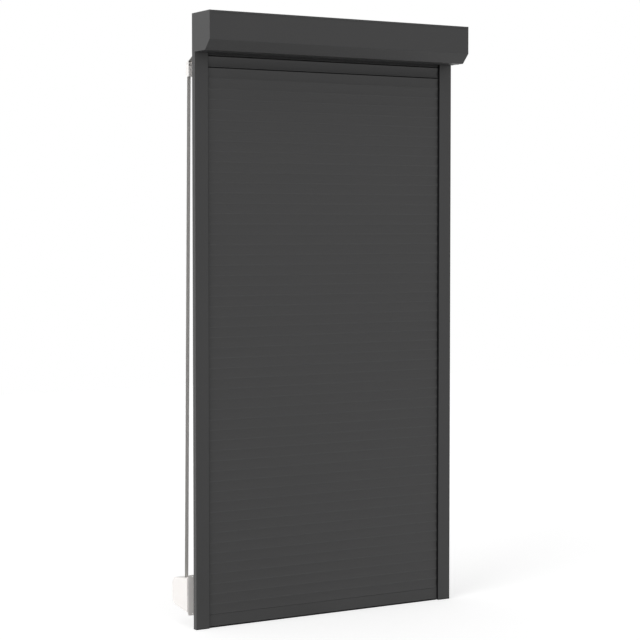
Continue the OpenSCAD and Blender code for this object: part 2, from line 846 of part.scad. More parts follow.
module strap_guide_body() {
    w = reel_w + 2 * guide_wall;
    color("#f2f2ee") difference() {
        union() {
            along_x(guide_x, guide_wall) guide_cheek_profile();
            along_x(guide_x + reel_w + guide_wall, guide_wall) guide_cheek_profile();
            along_x(guide_x, w) {
                translate([frame_t, guide_z])
                    square([guide_plate_t, guide_c[1] - guide_roller_r - 2 * run_play - guide_z]);
                translate([frame_t + guide_d - guide_wall, guide_z + 6]) square([guide_wall, guide_h - 12]);
            }
        }
        for (v = [0, 1])
            translate([-half_w + strap_x, frame_t - 1, guide_z + 6 + v * guide_hole_gap - origin_z])
                rotate([-90, 0, 0]) cylinder(r = guide_hole_r, h = guide_plate_t + 2);
    }
}

module strap_guide_roller() {
    l = reel_w - 2 * run_play;
    color("#e4e4de") difference() {
        rod_x(strap_x - l / 2, l, guide_c, guide_roller_r);
        rod_x(strap_x - l / 2 - 1, l + 2, guide_c, guide_pin_r + run_fit);
    }
}

module strap_guide_pin() {
    color("#c4c7ca") rod_x(guide_x, reel_w + 2 * guide_wall, guide_c, guide_pin_r);
}

module winder_plate() {
    color("#f2f2ee") difference() {
        translate([-half_w + winder_mid - winder_plate_w / 2, frame_t,
                   winder_z - winder_plate_h / 2 - origin_z])
            cube([winder_plate_w, winder_plate_t, winder_plate_h]);
        for (v = [-1, 1])
            translate([-half_w + winder_mid, frame_t - 1, winder_z + v * winder_hole_gap / 2 - origin_z])
                rotate([-90, 0, 0]) cylinder(r = winder_hole_r, h = winder_plate_t + 2);
    }
}

// D-shaped case, narrower and round towards the room
module case_profile(i, y0 = case_y) {
    corner = [for (k = [0 : nose_steps]) let(a = slope_a * (1 - k / nose_steps))
        nose_c + (winder_r - i) * [cos(a), sin(a)]];
    upper = concat([[y0, case_half_h(y0, i)]], corner);
    lower = [for (k = [len(upper) - 1 : -1 : 0]) [upper[k][0], -upper[k][1]]];
    translate([0, winder_z]) polygon(concat(upper, lower));
}

case_post_c = case_y + case_post_r + run_play;
module at_posts() {
    for (v = [-1, 1])
        translate([case_post_c, winder_z + v * (case_half_h(case_post_c, winder_wall) - case_post_r + 0.4)])
            children();
}

module case_half(boss_l) {
    half = winder_w / 2;
    difference() {
        union() {
            along_x(winder_x, winder_wall) case_profile(0);
            along_x(winder_x + winder_wall - eps, half - winder_wall) difference() {
                case_profile(0);
                case_profile(winder_wall, case_y - winder_wall);
            }
            along_x(winder_x, half - eps) at_posts() circle(case_post_r);
            rod_x(winder_x + winder_wall - eps, boss_l, spool_c, axle_boss_r);
        }
        // slit for the strap in the upper rim
        translate([-half_w + strap_x - reel_w / 2, strap_mid_y - 3 * strap_t,
                   strap_top_z - 3 * winder_wall - origin_z])
            cube([reel_w, 6 * strap_t, 4 * winder_wall]);
        rod_x(winder_x + winder_wall / 2, winder_w, spool_c, axle_r + run_fit);
        along_x(winder_x + winder_wall, winder_w) at_posts() circle(case_screw_r + run_fit);
    }
}

module winder_case_left() {
    color("#f4f4f0") case_half(reel_x - spool_flange_t - winder_x - winder_wall - run_play);
}

module flipped_about_strap() {
    translate([-half_w + winder_mid, 0, 0]) mirror([1, 0, 0])
        translate([half_w - winder_mid, 0, 0]) children();
}

module winder_case_right() {
    color("#f4f4f0") difference() {
        flipped_about_strap() case_half(reel_x - spool_flange_t - winder_x - winder_wall - run_play);
        along_x(winder_x + winder_w / 2, winder_w) at_posts() circle(case_screw_r + run_fit);
        along_x(winder_x + winder_w - winder_wall, winder_w) at_posts() circle(case_screw_head_r + run_fit);
    }
}

module winder_axle() {
    color("#b8bcc0")
        rod_x(winder_x + winder_wall / 2 + run_fit, winder_w - winder_wall - 2 * run_fit, spool_c, axle_r);
}

module winder_spool() {
    wall = spool_hub_wall;
    color("#e4e4de") translate([-half_w, spool_c[0], spool_c[1] - origin_z])
    rotate([0, 90, 0]) rotate_extrude() {
        translate([spool_hub_r - wall, reel_x]) square([wall, reel_w]);
        translate([spool_hub_r - wall, reel_x - spool_flange_t])
            square([spool_r - spool_hub_r + wall, spool_flange_t + eps]);
        translate([axle_r + run_fit, reel_x + reel_w - eps])
            square([spool_r - axle_r - run_fit, spool_flange_t]);
    }
}

module winder_spring() {
    color("#8f9397") translate([-half_w, spool_c[0], spool_c[1] - origin_z])
    rotate([0, 90, 0]) rotate_extrude() translate([axle_r + run_fit, reel_x + 1])
        square([spool_hub_r - spool_hub_wall - axle_r - 1, reel_w - 2]);
}

module winder_strap_coil() {
    color("#8a8986") wound_strap(spool_c, spool_hub_r, spool_coil_r);
}

module winder_screws() {
    color("#b8bcc0") {
        along_x(winder_x + winder_wall + 1, winder_w - 2 * winder_wall - 1 + eps) at_posts()
            circle(case_screw_r);
        along_x(winder_x + winder_w - winder_wall, winder_wall - 0.4) at_posts() circle(case_screw_head_r);
    }
}

box_top_cover();
box_front_cover();
end_cap_left();
end_cap_right();
cover_screws();
bearing_left();
bearing_right();
roller_tube();
roller_plug_left();
roller_plug_right();
hanger_springs();
strap_pulley();
pulley_strap_coil();
guide_rail_left();
guide_rail_right();
rail_seals_left();
rail_seals_right();
inlet_funnel_left();
inlet_funnel_right();
rail_foot_left();
rail_foot_right();
access_hole_caps();
bottom_rail();
bottom_seal();
bottom_rail_glides();
slats_01();
slats_02();
slats_03();
slats_04();
slats_05();
slats_06();
slats_07();
slats_08();
slats_09();
slats_10();
slats_11();
slats_12();
slats_13();
slats_14();
slats_15();
slats_16();
slats_17();
slats_18();
slats_19();
strap();
strap_guide_body();
strap_guide_roller();
strap_guide_pin();
winder_plate();
winder_case_left();
winder_case_right();
winder_axle();
winder_spool();
winder_spring();
winder_strap_coil();
winder_screws();
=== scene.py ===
import json
import math
import bmesh
import bpy
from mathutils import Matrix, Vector
from mathutils.geometry import tessellate_polygon

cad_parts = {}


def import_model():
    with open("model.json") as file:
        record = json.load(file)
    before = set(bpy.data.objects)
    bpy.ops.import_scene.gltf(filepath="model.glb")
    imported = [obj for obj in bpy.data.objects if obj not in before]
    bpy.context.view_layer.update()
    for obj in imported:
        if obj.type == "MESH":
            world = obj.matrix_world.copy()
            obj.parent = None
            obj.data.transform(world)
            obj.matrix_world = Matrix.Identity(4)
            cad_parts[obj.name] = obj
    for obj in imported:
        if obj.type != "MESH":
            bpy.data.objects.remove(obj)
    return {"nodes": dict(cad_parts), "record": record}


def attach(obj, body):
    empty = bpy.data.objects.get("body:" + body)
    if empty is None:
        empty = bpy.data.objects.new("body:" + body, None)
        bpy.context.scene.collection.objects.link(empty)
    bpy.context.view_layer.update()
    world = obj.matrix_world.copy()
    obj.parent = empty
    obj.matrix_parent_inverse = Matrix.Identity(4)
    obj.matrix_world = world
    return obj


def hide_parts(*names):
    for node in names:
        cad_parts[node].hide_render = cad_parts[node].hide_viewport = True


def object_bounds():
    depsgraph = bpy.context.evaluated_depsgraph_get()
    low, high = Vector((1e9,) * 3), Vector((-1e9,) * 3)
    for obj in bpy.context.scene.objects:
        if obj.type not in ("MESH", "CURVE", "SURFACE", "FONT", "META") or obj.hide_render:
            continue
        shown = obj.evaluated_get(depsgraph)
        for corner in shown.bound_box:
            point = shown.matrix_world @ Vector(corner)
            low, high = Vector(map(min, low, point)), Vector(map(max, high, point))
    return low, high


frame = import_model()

CAD_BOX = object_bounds()
MM = 0.001

# Sizes in millimetres, as in the part's source: x from the outer left side, y from the rails' back
# plane towards the window, z from the feet.
WIDE, HIGH, MID_Z = 1100.0, 2200.0, 1060.0
PLUG_PLAY, RUN_PLAY = 0.2, 0.3
BOX, BEVEL, SHEET, HEM, SEAM = 137.0, 35.0, 1.2, 8.0, 0.5
TONGUE, INLET, INLET_LIP = 6.0, 25.0, 9.0
CAP, CAP_RIM, CAP_PLAY, COVER_SCREW_GAP = 3.0, 14.0, 0.2, 36.0
BOX_Z = HIGH - BOX
RAIL_W, RAIL_D, RAIL_LIP, RAIL_MOUTH = 53.0, 22.0, 9.0, 11.0
RAIL_Z0, RAIL_Z1, SEAL_SHORT, SEAL_FIN = 4.0, BOX_Z, 1.0, 4.0
SLATS, GROUPS, SLAT_X, CURTAIN_Y = 55, 19, 26.6, -11.0
PITCH, SLAT_H, SLAT_T, BOW, PLAY = 37.0, 36.4, 7.2, 90.0, 3.8
SLAT_WALL, SLAT_LIP, SLAT_SLOT, POCKET_TOP = 0.5, 1.0, 2.2, 9.4
NECK_T, NECK_Y, BEAD_IN, BEAD_R = 1.0, -0.2, 7.0, 1.9
CLIP_T, CLIP_PLUG, GLIDE_T, FOOT_H = 2.0, 12.0, 2.0, 49.0
STRAP_X, STRAP_W, STRAP_T, STRAP_SIDE = 13.0, 14.0, 1.2, 0.6
PULLEY, GUIDE, SPOOL = (-68.5, 2131.5), (42.2, 2026.0), (105.0, 116.0)
PULLEY_HUB_R, PULLEY_COIL_R, GUIDE_R = 25.05, 34.5, 6.0
SPOOL_HUB_R, SPOOL_COIL_R, SPRING_R0, SPRING_R1 = 20.05, 21.4, 4.2, 15.9
WINDER_Z, STRAP_IN_Y = SPOOL[1], 82.2
PLATE_Y, PLATE_W, PLATE_H, PLATE_R = 34.0, 36.0, 147.0, 6.0
PLATE_HOLE_GAP, PLATE_HOLE_R = 135.0, 2.1
CASE_X0, CASE_X1, CASE_Y, CASE_D, CASE_H = -7.5, 33.5, 37.0, 125.0, 126.0
CASE_RIM, CASE_WALL, NOSE_R, NOSE_H = 5.0, 2.0, 25.0, 52.0
CASE_SCREW_Y, CASE_SCREW_Z, SCREW_SEAT, SCREW_SEAT_R = 41.5, 56.65, 1.7, 3.15

# In degrees: a bend sharper than this shows as an edge.
SMOOTH, SMOOTH_CASE, SMOOTH_SCREW, SMOOTH_BELT = 32.0, 30.0, 40.0, 50.0


def place(x, y, z):
    return ((x - WIDE / 2) * MM, y * MM, (z - MID_Z) * MM)


# Materials

def nodes_of(name):
    mat = bpy.data.materials.new(name)
    mat.use_nodes = True
    tree = mat.node_tree
    return mat, tree, tree.nodes["Principled BSDF"]


def add(tree, kind, **values):
    node = tree.nodes.new(kind)
    for key, value in values.items():
        if key in node.inputs:
            node.inputs[key].default_value = value
        else:
            setattr(node, key, value)
    return node


def feed(tree, value, socket):
    """a number or colour is set on the socket itself, another node's output is linked to it"""
    if isinstance(value, (int, float)):
        socket.default_value = value
    elif isinstance(value, tuple):
        socket.default_value = (*value, 1)
    else:
        tree.links.new(value, socket)


def coords(tree, scale=(1, 1, 1), source="Object"):
    where = add(tree, "ShaderNodeTexCoord")
    mapping = add(tree, "ShaderNodeMapping", Scale=scale)
    tree.links.new(where.outputs[source], mapping.inputs["Vector"])
    return mapping.outputs["Vector"]


def noise(tree, vector, scale, detail=3.0):
    node = add(tree, "ShaderNodeTexNoise", Scale=scale, Detail=detail, Roughness=0.55)
    tree.links.new(vector, node.inputs["Vector"])
    return node.outputs["Fac"]


def math_node(tree, operation, a, b=0.0):
    node = add(tree, "ShaderNodeMath", operation=operation)
    feed(tree, a, node.inputs[0])
    feed(tree, b, node.inputs[1])
    return node.outputs[0]


def remap(tree, value, low, high, a=0.3, b=0.7):
    node = add(tree, "ShaderNodeMapRange")
    for key, number in (("From Min", a), ("From Max", b), ("To Min", low), ("To Max", high)):
        node.inputs[key].default_value = number
    tree.links.new(value, node.inputs["Value"])
    return node.outputs["Result"]


def two_tone(tree, value, dark, light, a=0.3, b=0.7):
    ramp = add(tree, "ShaderNodeValToRGB")
    for element, position, colour in zip(ramp.color_ramp.elements, (a, b), (dark, light)):
        element.position = position
        element.color = (*colour, 1)
    tree.links.new(value, ramp.inputs["Fac"])
    return ramp.outputs["Color"]


def scaled(colour, k):
    return tuple(min(1.0, c * k) for c in colour)


def shades(tree, value, base, low, high, a=0.3, b=0.7):
    """darker and lighter shades of one colour"""
    return two_tone(tree, value, scaled(base, low), scaled(base, high), a, b)


def blend_colour(tree, fac, a, b):
    node = add(tree, "ShaderNodeMix", data_type="RGBA", blend_type="MIX")
    for value, index in ((fac, 0), (a, 6), (b, 7)):
        feed(tree, value, node.inputs[index])
    return node.outputs[2]


def bump(tree, shader, height, strength, distance, below=None):
    node = add(tree, "ShaderNodeBump", Strength=strength, Distance=distance)
    tree.links.new(height, node.inputs["Height"])
    if below is not None:
        tree.links.new(below, node.inputs["Normal"])
    tree.links.new(node.outputs["Normal"], shader.inputs["Normal"])
    return node.outputs["Normal"]


def edge_mask(tree, radius):
    """1 close to a sharp edge, 0 on a flat face"""
    soft = add(tree, "ShaderNodeBevel", samples=4, Radius=radius)
    geo = add(tree, "ShaderNodeNewGeometry")
    dot = add(tree, "ShaderNodeVectorMath", operation="DOT_PRODUCT")
    tree.links.new(soft.outputs["Normal"], dot.inputs[0])
    tree.links.new(geo.outputs["Normal"], dot.inputs[1])
    return remap(tree, dot.outputs["Value"], 1.0, 0.0, 0.80, 0.995)


def worn_edges(tree, colour, radius, patches, most, pale):
    """paint rubbed paler along sharp edges, in patches"""
    worn = math_node(tree, "MULTIPLY", edge_mask(tree, radius), remap(tree, patches, 0.0, most))
    return blend_colour(tree, worn, colour, pale)


def dress(tree, shader, colour, rough):
    feed(tree, colour, shader.inputs["Base Color"])
    feed(tree, rough, shader.inputs["Roughness"])


def powder_coat(name, base, rough, grain=1.0):
    """baked powder coat: fine grain over a slight orange peel, a little paler on edges"""
    mat, tree, shader = nodes_of(name)
    v = coords(tree)
    speck = noise(tree, v, 2600.0, 2.0)
    tone = shades(tree, noise(tree, v, 5.0, 4.0), base, 0.95, 1.05)
    fleck = shades(tree, speck, base, 0.82, 1.16)
    colour = blend_colour(tree, 0.45, tone, fleck)
    colour = worn_edges(tree, colour, 0.0012, noise(tree, v, 60.0), 0.30, scaled(base, 1.7))
    dress(tree, shader, colour, remap(tree, noise(tree, v, 420.0), rough - 0.05, rough + 0.06))
    first = bump(tree, shader, speck, 0.22 * grain, 0.00012)
    bump(tree, shader, noise(tree, v, 520.0, 2.0), 0.10 * grain, 0.0003, first)
    return mat


def coil_coat(name, base, rough, gloss=0.5):
    """painted strip of the slats: faint lengthwise rolling lines, small tone steps from slat to slat,
    a painted highlight along the upper and lower edge of each slat"""
    mat, tree, shader = nodes_of(name)
    v = coords(tree)
    lines = noise(tree, coords(tree, (2.0, 700.0, 700.0)), 1.0)
    cloud = noise(tree, coords(tree, (1.6, 1.0, 4.0)), 3.0)
    own = add(tree, "ShaderNodeAttribute", attribute_name="slat_tone")
    step = shades(tree, own.outputs["Fac"], base, 0.965, 1.035, 0.0, 1.0)
    colour = blend_colour(tree, 0.4, step, shades(tree, lines, base, 0.93, 1.07))
    colour = blend_colour(tree, 0.35, colour, shades(tree, cloud, base, 0.96, 1.04))
    # painted highlight: a lighter band along each slat's upper and lower edge, where the rounded edges catch the
    # light
    glint_band = add(tree, "ShaderNodeAttribute", attribute_name="edge_glint")
    uneven = remap(tree, noise(tree, coords(tree, (3.0, 40.0, 40.0)), 1.0), 0.7, 1.0)
    painted_glint = math_node(tree, "MULTIPLY", glint_band.outputs["Fac"], uneven)
    colour = blend_colour(tree, painted_glint, colour, scaled(base, 1.4))
    colour = worn_edges(tree, colour, 0.0007, noise(tree, v, 35.0), 0.22, scaled(base, 1.5))
    dress(tree, shader, colour, remap(tree, lines, rough - 0.04, rough + 0.05))
    shader.inputs["Specular IOR Level"].default_value = gloss
    first = bump(tree, shader, lines, 0.05, 0.0002)
    bump(tree, shader, noise(tree, v, 1500.0, 2.0), 0.06, 0.0001, first)
    return mat


def moulded(name, base, rough, grain, warm, spots):
    """moulded plastic with a spark-eroded grain; spots is the depth of its flow marks, warm their tint"""
    mat, tree, shader = nodes_of(name)
    v = coords(tree)
    grainy = noise(tree, v, 1900.0, 2.0)
    flow = noise(tree, coords(tree, (8, 8, 30)), 2.0)
    red, green, blue = base
    tint = (red * (1 - spots), green * (1 - spots * (1 + warm)), blue * (1 - spots * (1 + 3 * warm)))
    colour = blend_colour(tree, 0.25, two_tone(tree, flow, tint, base), shades(tree, grainy, base, 0.9, 1.05))
    dress(tree, shader, colour, remap(tree, noise(tree, v, 300.0), rough - 0.05, rough + 0.06))
    bump(tree, shader, grainy, 0.14 * grain, 0.00015)
    shader.inputs["IOR"].default_value = 1.5
    return mat


def rubber(name, base):
    """extruded rubber: matt, with faint die lines along it and a grey bloom"""
    mat, tree, shader = nodes_of(name)
    lines = noise(tree, coords(tree, (900, 900, 3)), 1.0, 2.0)
    bloom = noise(tree, coords(tree), 14.0, 5.0)
    dress(tree, shader, shades(tree, bloom, base, 1.0, 1.9, 0.35, 0.8), remap(tree, bloom, 0.68, 0.85))
    bump(tree, shader, lines, 0.12, 0.0002)
    shader.inputs["Specular IOR Level"].default_value = 0.12
    return mat


def galvanised(name, base):
    """hot-dip zinc with its spangle"""
    mat, tree, shader = nodes_of(name)
    v = coords(tree)
    cells = add(tree, "ShaderNodeTexVoronoi", Scale=110.0)
    tree.links.new(v, cells.inputs["Vector"])
    grey = add(tree, "ShaderNodeRGBToBW")
    tree.links.new(cells.outputs["Color"], grey.inputs["Color"])
    spangle = grey.outputs["Val"]
    dress(tree, shader, shades(tree, spangle, base, 0.78, 1.15), remap(tree, spangle, 0.34, 0.52))
    bump(tree, shader, noise(tree, v, 500.0), 0.08, 0.0002)
    shader.inputs["Metallic"].default_value = 1.0
    return mat


def turned_steel(name, base, rough, scale=(1500, 30, 30)):
    """machined or rolled steel: fine lines round the axis and a slight stain"""
    mat, tree, shader = nodes_of(name)
    lines = noise(tree, coords(tree, scale), 1.0)
    stain = noise(tree, coords(tree), 90.0, 4.0)
    colour = blend_colour(tree, 0.5, shades(tree, lines, base, 0.85, 1.1), shades(tree, stain, base, 0.8, 1.0))
    dress(tree, shader, colour, remap(tree, lines, rough - 0.06, rough + 0.1))
    bump(tree, shader, lines, 0.1, 0.0002)
    shader.inputs["Metallic"].default_value = 1.0
    return mat


def woven(name, base, line_colour):
    """strap: plain weave of thick warp yarns, each crossed by weft, with a darker line near each selvedge"""
    # in metres of the strap's own surface
    warp_pitch, weft_pitch = 0.0011, 0.0018
    line_off_middle, line_half = 0.0047, 0.00055
    mat, tree, shader = nodes_of(name)
    parts = add(tree, "ShaderNodeSeparateXYZ")
    tree.links.new(coords(tree, source="UV"), parts.inputs["Vector"])
    across, along = parts.outputs["X"], parts.outputs["Y"]

    def calc(operation, a, b=0.0):
        return math_node(tree, operation, a, b)

    warp = calc("SINE", calc("MULTIPLY", across, math.pi / warp_pitch))
    weft = calc("SINE", calc("MULTIPLY", along, math.pi / weft_pitch))
    ridge, over = calc("ABSOLUTE", warp), calc("MULTIPLY", warp, weft)
    height = calc("ADD", calc("MULTIPLY", ridge, 0.6), calc("MULTIPLY", over, 0.4))
    yarn = noise(tree, coords(tree, (900, 60, 1), "UV"), 1.0)
    # colour follows the weave's height: painted shade in the hollows between yarns, a painted highlight on their
    # crowns
    lit = shades(tree, height, base, 0.66, 1.10, 0.05, 0.85)
    colour = blend_colour(tree, 0.42, lit, shades(tree, yarn, base, 0.82, 1.12))
    off_middle = calc("ABSOLUTE", calc("SUBTRACT", across, STRAP_W / 2 * MM))
    off_line = calc("ABSOLUTE", calc("SUBTRACT", off_middle, line_off_middle))
    line = calc("MULTIPLY", calc("LESS_THAN", off_line, line_half), 0.55)
    dress(tree, shader, blend_colour(tree, line, colour, line_colour), 0.85)
    shader.inputs["Specular IOR Level"].default_value = 0.25
    shader.inputs["Sheen Weight"].default_value = 0.15
    first = bump(tree, shader, height, 0.55, 0.0003)
    bump(tree, shader, yarn, 0.2, 0.0001, first)
    return mat


GREY = (0.0340, 0.0340, 0.0344)
MATS = {
    "anthracite_sheet": powder_coat("powder_coat_sheet", GREY, 0.5),
    "anthracite_rail": powder_coat("powder_coat_rail", GREY, 0.5),
    "anthracite_slat": coil_coat("coil_coat_slat", scaled(GREY, 1.03), 0.48),
    "anthracite_cap": powder_coat("powder_coat_cap", scaled(GREY, 1.02), 0.52, 1.3),
    "dark_screws": turned_steel("blackened_screw", (0.05, 0.05, 0.052), 0.42, (60, 60, 1500)),
    "bearing_steel": turned_steel("turned_steel", (0.5, 0.51, 0.52), 0.3),
    "zinc_steel": galvanised("zinc_tube", (0.42, 0.44, 0.46)),
    "spring_steel": turned_steel("rolled_spring_steel", (0.45, 0.46, 0.48), 0.35, (30, 1200, 1200)),
    "black_plastic": moulded("black_moulded", (0.012, 0.012, 0.0125), 0.5, 1.0, 0.0, 0.2),
    "black_rubber": rubber("black_rubber_strip", (0.0055, 0.0055, 0.006)),
    "white_plastic": moulded("white_moulded", (0.90, 0.875, 0.855), 0.42, 0.4, 0.4, 0.015),
    "grey_strap": woven("woven_strap", (0.66, 0.645, 0.62), (0.34, 0.33, 0.32)),
}
# painted shade: the slats' hooks and necks get the slat coat made darker and duller, to show the shade inside the
# open joints
SHADED_HOOK_COAT = coil_coat("coil_coat_hook_painted_shade", scaled(GREY, 0.4), 0.75, 0.15)


# Mesh helpers

def span(a, b, n):
    return [a + (b - a) * k / n for k in range(n + 1)]


def circle_point(c, r, t):
    return c[0] + r * math.cos(t), c[1] + r * math.sin(t)


def ring(c, r, n=32):
    return [circle_point(c, r, 2 * math.pi * k / n) for k in range(n)]


def rounded(points, radii, steps=4):
    """closed outline with its corners rounded"""
    out = []
    n = len(points)
    for i, p in enumerate(points):
        r = radii[i] if isinstance(radii, (list, tuple)) else radii
        p = Vector(p)
        a = Vector(points[i - 1]) - p
        b = Vector(points[(i + 1) % n]) - p
        if r <= 0 or a.length < 1e-6 or b.length < 1e-6:
            out.append((p.x, p.y))
            continue
        a.normalize(), b.normalize()
        angle = a.angle(b)
        if angle > math.pi - 0.02:
            out.append((p.x, p.y))
            continue
        reach = r / math.tan(angle / 2)
        centre = p + (a + b).normalized() * (r / math.sin(angle / 2))
        start, end = p + a * reach - centre, p + b * reach - centre
        turn = math.atan2(start.x * end.y - start.y * end.x, start.dot(end))
        first = math.atan2(start.y, start.x)
        for k in range(steps + 1):
            out.append(circle_point(centre, r, first + turn * k / steps))
    return out


def linked(name, data):
    obj = bpy.data.objects.new(name, data)
    bpy.context.scene.collection.objects.link(obj)
    return obj


class Shape:
    """collects points in the source's millimetres and faces over them"""

    def __init__(self):
        self.verts, self.faces, self.uv, self.marks = [], [], [], {}

    def point(self, x, y, z):
        self.verts.append(place(x, y, z))
        return len(self.verts) - 1

    def on_axis(self, axis, along, u, v):
        return self.point(*{"x": (along, u, v), "y": (u, along, v), "z": (u, v, along)}[axis])

    def skin(self, rows, closed=True):
        """faces between each row of points and the next; closed rows go all the way round"""
        for a, b in zip(rows, rows[1:]):
            n = len(a)
            for i in range(n if closed else n - 1):
                j = (i + 1) % n
                self.faces.append((a[i], a[j], b[j], b[i]))

    def ends(self, rows):
        """closes the first and the last row"""
        self.faces += [tuple(rows[0]), tuple(reversed(rows[-1]))]

    def prism(self, loops, levels, axis="x", shift=(0, 0)):
        """loops are closed outlines, or functions of an inset; levels are (place along the axis, inset)"""
        rows = []
        for along, inset in levels:
            shown = [loop(inset) if callable(loop) else loop for loop in loops]
            row = [[self.on_axis(axis, along, u + shift[0], v + shift[1]) for u, v in loop] for loop in shown]
            rows.append((row, shown))
        for (low, _), (high, _) in zip(rows, rows[1:]):
            for pair in zip(low, high):
                self.skin(pair)
        for (row, shown), flip in ((rows[0], True), (rows[-1], False)):
            flat = [i for ids in row for i in ids]
            for tri in tessellate_polygon([[Vector((u, v, 0)) for u, v in loop] for loop in shown]):
                ids = [flat[k] for k in tri]
                self.faces.append(tuple(reversed(ids)) if flip else tuple(ids))

    def mesh(self, name):
        """mesh with all its faces turned outwards"""
        mesh = bpy.data.meshes.new(name)
        mesh.from_pydata(self.verts, [], self.faces)
        bm = bmesh.new()
        bm.from_mesh(mesh)
        bmesh.ops.recalc_face_normals(bm, faces=bm.faces)
        bm.to_mesh(mesh)
        bm.free()
        return mesh

    def piece(self, name, body, slot, nodes=(), smooth=SMOOTH):
        mesh = self.mesh(name)
        if self.uv:
            layer = mesh.uv_layers.new(name="UVMap")
            for loop in mesh.loops:
                layer.data[loop.index].uv = self.uv[loop.vertex_index]
        for key, values in self.marks.items():
            layer = mesh.attributes.new(key, "FLOAT", "POINT")
            layer.data.foreach_set("value", values)
        return finished(name, mesh, body, slot, nodes, smooth)


def shaded(obj, smooth):
    """smooth shading over rounded edges, with the flat faces beside them left flat"""
    for face in obj.data.polygons:
        face.use_smooth = True
    obj.data.set_sharp_from_angle(angle=math.radians(smooth))
    mod = obj.modifiers.new("flat_faces", "WEIGHTED_NORMAL")
    mod.keep_sharp = True


def finished(name, mesh, body, slot, nodes=(), smooth=SMOOTH):
    mesh.materials.append(MATS[slot])
    obj = linked(name, mesh)
    shaded(obj, smooth)
    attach(obj, body)
    if nodes:
        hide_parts(*nodes)
    return obj


SLOT_OF = {s["node"]: s["material_slot"] for s in frame["record"]["subparts"]}
BODY_OF = {n: b for b, ns in frame["record"]["behaviour"]["bodies"].items() for n in ns}


def softened(node, width, segments, pick=None):
    """a copy of a CAD node with its chosen sharp edges rounded"""
    bm = bmesh.new()
    bm.from_mesh(frame["nodes"][node].data)
    bmesh.ops.remove_doubles(bm, verts=bm.verts, dist=2e-6)
    bmesh.ops.dissolve_limit(bm, angle_limit=math.radians(0.4), verts=bm.verts, edges=bm.edges)
    edges = []
    for e in bm.edges:
        if len(e.link_faces) == 2 and e.calc_face_angle() > math.radians(40):
            a, b = ((v.co.x / MM + WIDE / 2, v.co.y / MM, v.co.z / MM + MID_Z) for v in e.verts)
            if pick is None or pick(a, b):
                edges.append(e)
    bmesh.ops.bevel(bm, geom=edges, offset=width * MM, offset_type="OFFSET", segments=segments,
                    profile=0.5, affect="EDGES", clamp_overlap=True)
    bmesh.ops.recalc_face_normals(bm, faces=bm.faces)
    mesh = bpy.data.meshes.new(node + "_look")
    bm.to_mesh(mesh)
    bm.free()
    finished(node + "_look", mesh, BODY_OF[node], SLOT_OF[node], (node,))


def near(value, *places):
    return any(abs(value - p) < 0.05 for p in places)


def in_plane(axis, *places):
    """picks the edges that lie in one of the planes across an axis"""
    return lambda a, b: near(a[axis], *places) and near(b[axis], *places)


def cut(obj, cutters, smooth=SMOOTH):
    """takes closed shapes out of a piece"""
    obj.modifiers.clear()
    for shape in cutters:
        mesh = shape.mesh("cutter")
        tool = linked("cutter", mesh)
        mod = obj.modifiers.new("cut", "BOOLEAN")
        mod.operation, mod.solver, mod.object = "DIFFERENCE", "EXACT", tool
        bpy.context.view_layer.update()
        done = bpy.data.meshes.new_from_object(obj.evaluated_get(bpy.context.evaluated_depsgraph_get()))
        obj.modifiers.clear()
        old, obj.data = obj.data, done
        bpy.data.objects.remove(tool)
        bpy.data.meshes.remove(mesh)
        bpy.data.meshes.remove(old)
    shaded(obj, smooth)


def screws(name, node, axis, centres, rows, n=40):
    """turned shanks and heads, rows of (place along the axis, radius); the last two are a cross recess"""
    s = Shape()
    for c in centres:
        rings = []
        for k, (along, r) in enumerate(rows):
            ids = []
            for i in range(n):
                t = 2 * math.pi * i / n
                q = r * (0.42 + 0.58 * abs(math.cos(2 * t)) ** 3) if k >= len(rows) - 2 else r
                ids.append(s.on_axis(axis, along, *circle_point(c, q, t)))
            rings.append(ids)
        s.skin(rings)
        s.ends(rings)
    s.piece(name, "frame", SLOT_OF[node], (node,), SMOOTH_SCREW)


# Box: two folded covers, two end caps, screws

def box_covers():
    """top and back are one sheet with a hem in front; the front sheet has the sloped corner, the lip of
    the inlet and a tongue that goes up behind the hem"""
    ends = [(CAP, 0), (WIDE - CAP, 0)]
    front, inside = -BOX, -BOX + SHEET
    s = Shape()
    s.prism([rounded([(0, BOX_Z), (0, HIGH), (front, HIGH), (front, HIGH - HEM), (inside, HIGH - HEM),
                      (inside, HIGH - SHEET), (-SHEET, HIGH - SHEET), (-SHEET, BOX_Z)],
                     [0.3, 1.9, 1.9, 0.4, 0.3, 0.7, 0.7, 0.3], 5)], ends)
    s.piece("box_top_sheet", "frame", "anthracite_sheet", ("box_top_cover",))
    k = SHEET * (math.sqrt(2) - 1)
    rim = HIGH - HEM - SEAM
    s = Shape()
    s.prism([rounded([(front, rim), (inside + CAP_PLAY, rim), (inside + CAP_PLAY, rim + TONGUE),
                      (inside + SHEET, rim + TONGUE), (inside + SHEET, rim - TONGUE), (inside, rim - TONGUE),
                      (inside, BOX_Z + BEVEL + k), (front + BEVEL + k, BOX_Z + SHEET),
                      (-INLET - SHEET, BOX_Z + SHEET), (-INLET - SHEET, BOX_Z + INLET_LIP),
                      (-INLET, BOX_Z + INLET_LIP), (-INLET, BOX_Z), (front + BEVEL, BOX_Z), (front, BOX_Z + BEVEL)],
                     [0.45, 0, 0.2, 0.3, 0.3, 0, 0.8, 0.8, 0.5, 0.4, 0.4, 1.5, 2.0, 2.0], 5)], ends)
    cover = s.piece("box_front_sheet", "frame", "anthracite_sheet", ("box_front_cover",))
    # the strap leaves the box through a notch in the inlet's lip
    y0, y1, z0, z1 = -INLET - 5, -INLET + 5, BOX_Z + 2.6, BOX_Z + 20
    notch = Shape()
    notch.prism([[(y0, z0), (y1, z0), (y1, z1), (y0, z1)]], [(-1, 0), (STRAP_X + STRAP_W / 2 + STRAP_SIDE, 0)])
    cut(cover, [notch])


